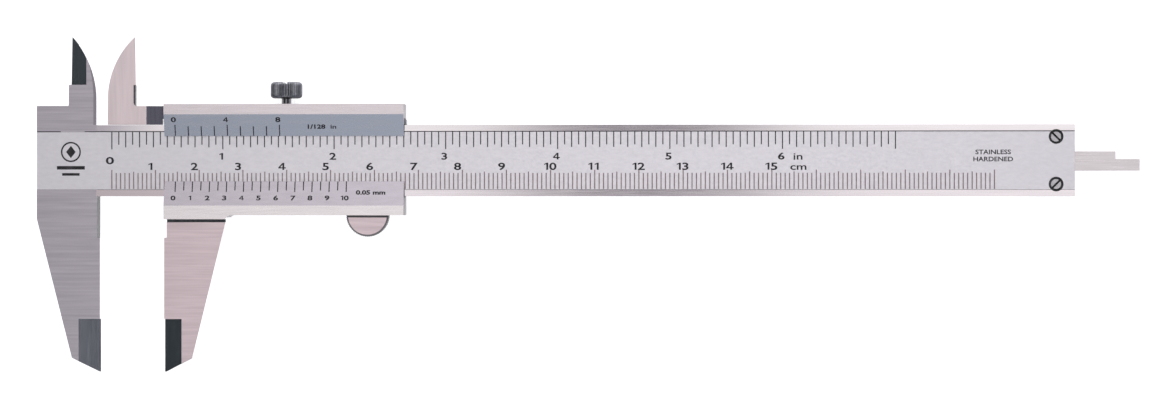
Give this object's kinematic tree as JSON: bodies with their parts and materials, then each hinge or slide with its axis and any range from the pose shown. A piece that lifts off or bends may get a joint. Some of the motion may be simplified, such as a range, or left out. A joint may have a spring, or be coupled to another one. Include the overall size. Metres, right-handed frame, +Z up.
{
  "type": "vernier caliper",
  "caption": "Vernier caliper with outside and inside jaws, a sliding vernier head with clamp screw and thumb rest, and a depth rod, metric and inch scales.",
  "frame": {"origin": "middle of the whole outline at rest, on the table it lies on", "axes": "+X along the beam from the jaws to the depth rod's tip, +Y towards the inside jaws, +Z up out of the graduated face"},
  "size_m": [0.2498, 0.0764, 0.0073],
  "materials": {
    "satin_steel": "satin chromed stainless steel",
    "ground_steel": "fine ground stainless steel",
    "plain_steel": "turned steel",
    "blacked_steel": "blackened knurled steel",
    "brass": "turned brass"
  },
  "bodies": {
    "beam": {"main_beam": "satin_steel", "stop_plate": "plain_steel", "stop_plate_screw_upper": "plain_steel", "stop_plate_screw_lower": "plain_steel"},
    "slider": {"slider_body": "ground_steel", "slider_back_plate": "satin_steel", "back_plate_screw_1": "plain_steel", "back_plate_screw_2": "plain_steel", "back_plate_screw_3": "plain_steel", "back_plate_screw_4": "plain_steel", "gib_strip": "plain_steel", "gib_screw_1": "plain_steel", "gib_screw_2": "plain_steel", "thumb_rest": "ground_steel", "thumb_rest_pin": "plain_steel", "depth_bar": "satin_steel", "depth_bar_rivet_1": "plain_steel", "depth_bar_rivet_2": "plain_steel", "clamp_pad": "brass"},
    "clamp": {"clamp_screw": "blacked_steel"}
  },
  "joints": [
    {"name": "slider_slide", "type": "slide", "parent": "beam", "child": "slider", "axis": [1, 0, 0], "range_m": [-0.01469, 0.1419]},
    {"name": "clamp_screw_turn", "type": "hinge", "parent": "slider", "child": "clamp", "pos_m": [-0.068, 0.02587, 0.00365], "axis": [0, 1, 0], "range_deg": [-180, 180]}
  ]
}
